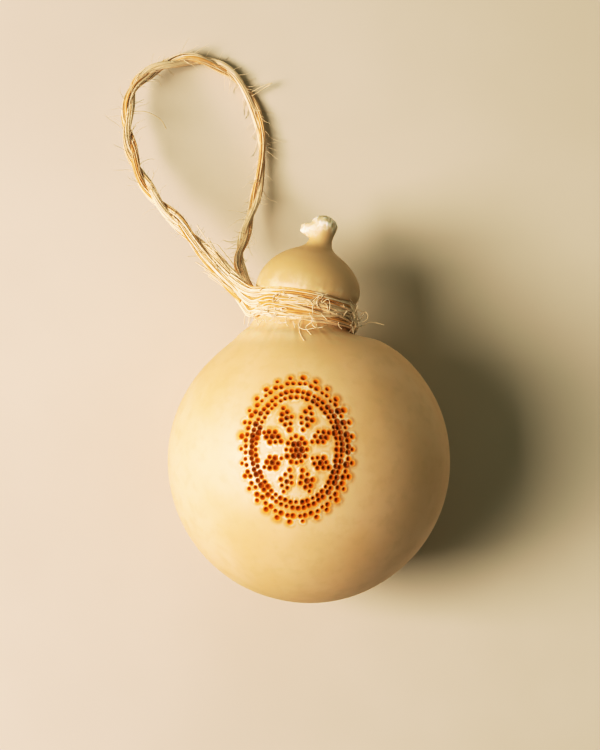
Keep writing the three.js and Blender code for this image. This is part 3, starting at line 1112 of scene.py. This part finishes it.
def relief_tree():
    """Gives the cheese its hand-drawn unevenness, the stub's torn skin, and the mark's burnt pits."""
    bench, given, result = new_tree("rind_relief", {
        "Dots": "Object",
        "Pit Radius": "Float",
        "Pit Depth": "Float",
        "Lip Height": "Float",
        "Melt Height": "Float",
        "Unevenness": "Float",
        "Tear Depth": "Float",
        "Seed": "Int",
        "Burnt Material": "Material",
        "Material": "Material",
    })
    dots = bench.add("GeometryNodeObjectInfo", {"Object": given["Dots"]}, output=4)
    distance = bench.add("GeometryNodeProximity", {"Geometry": dots}, output=1, target_element="POINTS")
    nearest = bench.add("GeometryNodeSampleNearest", {"Geometry": dots})
    crowd = bench.add("GeometryNodeSampleIndex", {
        "Geometry": dots, "Value": bench.named("crowd"), "Index": nearest})
    size = bench.chance(*PIT_SIZES, nearest, given["Seed"])
    char = bench.chance(*PIT_CHAR, nearest, bench.plus(given["Seed"], 1))
    share = bench.math("DIVIDE", distance, bench.times(given["Pit Radius"], size))
    hollow = bench.eased(share, *PIT_WALL)
    lip = bench.times(bench.eased(share, *LIP_INSIDE), bench.eased(share, *LIP_OUTSIDE))
    pitted = bench.times(hollow, given["Pit Depth"])
    raised = bench.times(lip, given["Lip Height"])
    place = bench.add("GeometryNodeInputPosition", {})
    swell = bench.minus(bench.noise(place, SWELL_SCALE, 1.0), 0.5)
    uneven = bench.times(swell, given["Unevenness"])
    ragged = bench.minus(bench.noise(place, SHRED_SCALE, 2.0), 0.5)
    torn = bench.times(bench.times(ragged, given["Tear Depth"]), bench.named("torn"))
    glow = bench.eased(share, *MELT_EDGE)
    bubbles = bench.minus(bench.noise(place, BUBBLE_SCALE, 1.0), 0.5)
    melted = bench.times(bench.times(bubbles, given["Melt Height"]), glow)
    relief = bench.minus(bench.plus(raised, melted), pitted)
    height = bench.plus(relief, bench.plus(uneven, torn))
    outward = bench.add("GeometryNodeInputNormal", {})
    charred = bench.times(char, bench.eased(crowd, 0.3, 0.9, 0.5, 1.0))
    floor = bench.times(bench.eased(share, *SOOT_EDGE), charred)
    gap = bench.times(bench.eased(share, *GAP_INSIDE), bench.eased(share, *GAP_OUTSIDE))
    between = bench.times(gap, bench.eased(crowd, 0.7, 1.0, 0.0, 0.7))
    burnt = bench.stored(given["Geometry"], "burn", bench.eased(share, *BURN_EDGE))
    sooty = bench.stored(burnt, "soot", bench.math("MAXIMUM", floor, between))
    glowing = bench.stored(sooty, "glow", glow)
    shaped = bench.add("GeometryNodeSetPosition", {
        "Geometry": glowing, "Offset": bench.scaled(outward, height)})
    return close_tree(bench, shaped, [
        (given["Material"], True),
        (given["Burnt Material"], bench.math("GREATER_THAN", bench.named("burn"), BURNT_FROM)),
    ], result)


# The rind's colours, from plain wax over the torn stub to the soot in a pit
WAX_DEEP = (0.81, 0.515, 0.26, 1)
WAX_PALE = (0.88, 0.59, 0.345, 1)
WAX_SPOTS = (0.74, 0.48, 0.24, 1)
HEAD_WAX = (0.63, 0.41, 0.20, 1)
PLEAT_BLOOM = (0.88, 0.70, 0.46, 1)
TORN_CURD = (0.77, 0.63, 0.42, 1)
DRY_SHREDS = (0.93, 0.87, 0.74, 1)
MELTED_WAX = (0.76, 0.37, 0.115, 1)
# Pale wax round the pits: partly the melted wax's own paleness, partly a painted highlight of its gloss
PALE_WAX_AND_HIGHLIGHT = (0.94, 0.74, 0.50, 1)
SCORCHED = (0.90, 0.37, 0.05, 1)
TOASTED = (0.62, 0.135, 0.003, 1)
SOOT = (0.09, 0.007, 0.0, 1)


def rind_material(name, gloss):
    """Waxed rind: warm straw yellow, cloudy, paler at the stub and in the pleats, burnt in the pits."""
    material, bench, shader = new_material(name)
    place = bench.add("ShaderNodeTexCoord", {}, output=3)
    cloud = bench.noise(place, CLOUD_SCALE, 3.0)
    mottle = bench.noise(place, MOTTLE_SCALE, 3.0)
    ragged = bench.noise(place, SHRED_SCALE, 2.0)
    grain = bench.noise(place, GRAIN_SCALE, 2.0)
    marks = {}
    for label in ("burn", "soot", "glow", "torn", "drawn", "head"):
        marks[label] = bench.add("ShaderNodeAttribute", {}, output=2, attribute_name=label)
    bloom = bench.times(marks["drawn"], bench.eased(mottle, 0.4, 0.65, 0.1, 0.55))
    shreds = bench.times(marks["torn"], bench.eased(ragged, 0.44, 0.62, 0.0, 0.8))
    near_pits = bench.eased(marks["glow"], 0.35, 1.0)
    layers = [
        (bench.eased(mottle, 0.45, 0.72, 0.0, 0.4), WAX_SPOTS),
        (bench.times(marks["head"], 0.85), HEAD_WAX),
        (bloom, PLEAT_BLOOM),
        (bench.times(marks["torn"], 0.85), TORN_CURD),
        (shreds, DRY_SHREDS),
        (bench.times(marks["glow"], 0.9), MELTED_WAX),
        # Pale mottled patches round the pits, partly painted highlight on the glossy melted wax
        (bench.times(near_pits, bench.eased(mottle, 0.47, 0.62, 0.0, 0.85)), PALE_WAX_AND_HIGHLIGHT),
        (bench.eased(marks["burn"], 0.0, BURNT_FROM), SCORCHED),
        (bench.eased(marks["burn"], BURNT_FROM, 0.9), TOASTED),
        (marks["soot"], SOOT),
    ]
    colour = bench.blended(bench.eased(cloud, 0.3, 0.7), WAX_DEEP, WAX_PALE)
    for amount, layer in layers:
        colour = bench.blended(amount, colour, layer)
    waxy = bench.eased(mottle, 0.3, 0.7, 0.54, 0.64)
    charred = bench.math("MULTIPLY_ADD", marks["burn"], 0.25, waxy)
    melted = bench.times(marks["glow"], bench.minus(1.0, marks["burn"]))
    fine = bench.plus(bench.times(grain, 0.3), mottle)
    bench.feed(shader, {
        "Base Color": colour,
        "Roughness": bench.math("MULTIPLY_ADD", melted, -0.22, charred),
        "Normal": bench.add("ShaderNodeBump", {"Height": fine, "Strength": 0.15, "Distance": 0.4 * MM}),
        "Subsurface Weight": 0.25,
        "Subsurface Radius": (1.0, 0.6, 0.3),
        "Subsurface Scale": 1.5 * MM,
        "Specular IOR Level": gloss,
    })
    return material


def dot_object():
    """The mark's pits as bare points, each with how crowded it stands."""
    places, crowd = mark_dots()
    mesh = bpy.data.meshes.new("mark_dots")
    mesh.from_pydata(places.tolist(), [], [])
    keep_values(mesh, "crowd", crowd)
    return placed("mark_dots", mesh)


dot_points = dot_object()
cheese = grown("waxed_cheese", placed("cheese_form", cheese_mesh()), relief_tree(), {
    "Dots": dot_points,
    "Pit Radius": 0.8 * MM,
    "Pit Depth": 1.2 * MM,
    "Lip Height": 0.15 * MM,
    "Melt Height": 0.35 * MM,
    "Unevenness": 0.7 * MM,
    "Tear Depth": 1.7 * MM,
    "Seed": 5,
    "Burnt Material": rind_material("burnt_rind", 0.1),
    "Material": rind_material("waxed_rind", 1.0),
})
bpy.data.objects.remove(dot_points)

# The flat spot that the cheese has settled on
keep_above_table(cheese, 0.0)
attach(cheese, "root")
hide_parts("cheese")

# Table
# A plain pale tabletop, matt and smooth. It carries the cheese and takes its shadow, a hair below the
# cheese's flat spot.
TABLE_CORNERS = [(-3, -3), (3, -3), (3, 3), (-3, 3)]
TABLE_DROP = 0.2 * MM
TABLE_COLOUR = (0.665, 0.567, 0.44, 1)
TABLE_CLOUDS = (0.695, 0.597, 0.465, 1)
TABLE_CLOUD_SCALE = 9.0


def table_material():
    """Matt and pale, with hardly any cloud in it."""
    material, bench, shader = new_material("pale_table")
    place = bench.add("ShaderNodeTexCoord", {}, output=3)
    cloud = bench.noise(place, TABLE_CLOUD_SCALE, 3.0)
    bench.feed(shader, {
        "Base Color": bench.blended(bench.eased(cloud, 0.3, 0.7), TABLE_COLOUR, TABLE_CLOUDS),
        "Roughness": 0.8,
        "Specular IOR Level": 0.2,
    })
    return material


table_mesh = bpy.data.meshes.new("table")
table_mesh.from_pydata([(x, y, -TABLE_DROP) for x, y in TABLE_CORNERS], [], [(0, 1, 2, 3)])
table_mesh.materials.append(table_material())
table = placed("table", table_mesh)

# Light
# One tall soft lamp from the left, like a window, and a weak fill from all round the room, which comes
# mostly from the head's side.
LAMP_TARGET = Vector((0, -0.01, 0.05))
LAMP_TURN = math.radians(5)
LAMP_ELEVATION = math.radians(48)
LAMP_DISTANCE = 1.4
LAMP_WIDTH = 0.58
LAMP_TALL = 0.94
LAMP_POWER = 26.0
LAMP_COLOUR = (1.0, 0.92, 0.88)
FILL_FRONT = 0.01
FILL_BACK = 0.31
FILL_EDGE = 0.6
FILL_COLOUR = (0.84, 0.88, 0.68, 1)
BACKGROUND = (0.82, 0.80, 0.76, 1)
BACKGROUND_STRENGTH = 0.8

lamp_data = bpy.data.lights.new("soft_lamp", "AREA")
lamp_data.shape = "RECTANGLE"
lamp_data.size = LAMP_WIDTH
lamp_data.size_y = LAMP_TALL
lamp_data.energy = LAMP_POWER
lamp_data.color = LAMP_COLOUR
lamp = placed("soft_lamp", lamp_data)
along_table = Vector((math.cos(LAMP_TURN), math.sin(LAMP_TURN), 0))
from_lamp = math.cos(LAMP_ELEVATION) * along_table - math.sin(LAMP_ELEVATION) * Vector((0, 0, 1))
lamp.location = LAMP_TARGET - LAMP_DISTANCE * from_lamp
lamp.rotation_euler = from_lamp.to_track_quat("-Z", "Y").to_euler()

world = bpy.data.worlds.new("studio")
world.use_nodes = True
room = NodeBench(world.node_tree)
fill = world.node_tree.nodes["Background"]
facing = room.add("ShaderNodeSeparateXYZ", {0: room.add("ShaderNodeTexCoord", {})}, output=1)
strength = room.eased(facing, -FILL_EDGE, FILL_EDGE, FILL_FRONT, FILL_BACK)
room.feed(fill, {"Color": FILL_COLOUR, "Strength": strength})
seen = room.add("ShaderNodeBackground", {"Color": BACKGROUND, "Strength": BACKGROUND_STRENGTH})
looking = room.add("ShaderNodeLightPath", {})
either = room.add("ShaderNodeMixShader", {0: looking, 1: fill.outputs[0], 2: seen})
room.feed(world.node_tree.nodes["World Output"], {"Surface": either})
bpy.context.scene.world = world

# The photographic tone curve: deep tones a little deeper, the lit side rolled off softly
TONE_RANGE = 2.0
TONE_POINTS = [
    (0.06, 0.041),
    (0.15, 0.127),
    (0.3, 0.325),
    (0.45, 0.535),
    (0.6, 0.685),
    (0.8, 0.84),
    (1.0, 0.935),
    (1.3, 0.99),
]

# How much green and blue is taken from the light before that: a softer green, a crisper blue
GREEN_POINTS = [
    (0.12, 0.123),
    (0.2, 0.205),
    (0.3, 0.307),
    (0.45, 0.45),
    (0.6, 0.589),
    (0.8, 0.77),
    (1.0, 0.95),
]
BLUE_POINTS = [
    (0.06, 0.052),
    (0.12, 0.107),
    (0.2, 0.186),
    (0.3, 0.295),
    (0.4, 0.41),
    (0.5, 0.522),
    (0.7, 0.72),
]
GREEN_CURVE = 1
BLUE_CURVE = 2
COMBINED_CURVE = 3

view = bpy.context.scene.view_settings
view.view_transform = "Standard"
view.use_curve_mapping = True
view.curve_mapping.white_level = (TONE_RANGE,) * 3
for channel, points in ((GREEN_CURVE, GREEN_POINTS), (BLUE_CURVE, BLUE_POINTS)):
    for given, taken in points:
        view.curve_mapping.curves[channel].points.new(given / TONE_RANGE, taken / TONE_RANGE)
for given, shown in TONE_POINTS:
    view.curve_mapping.curves[COMBINED_CURVE].points.new(given / TONE_RANGE, shown)
view.curve_mapping.update()
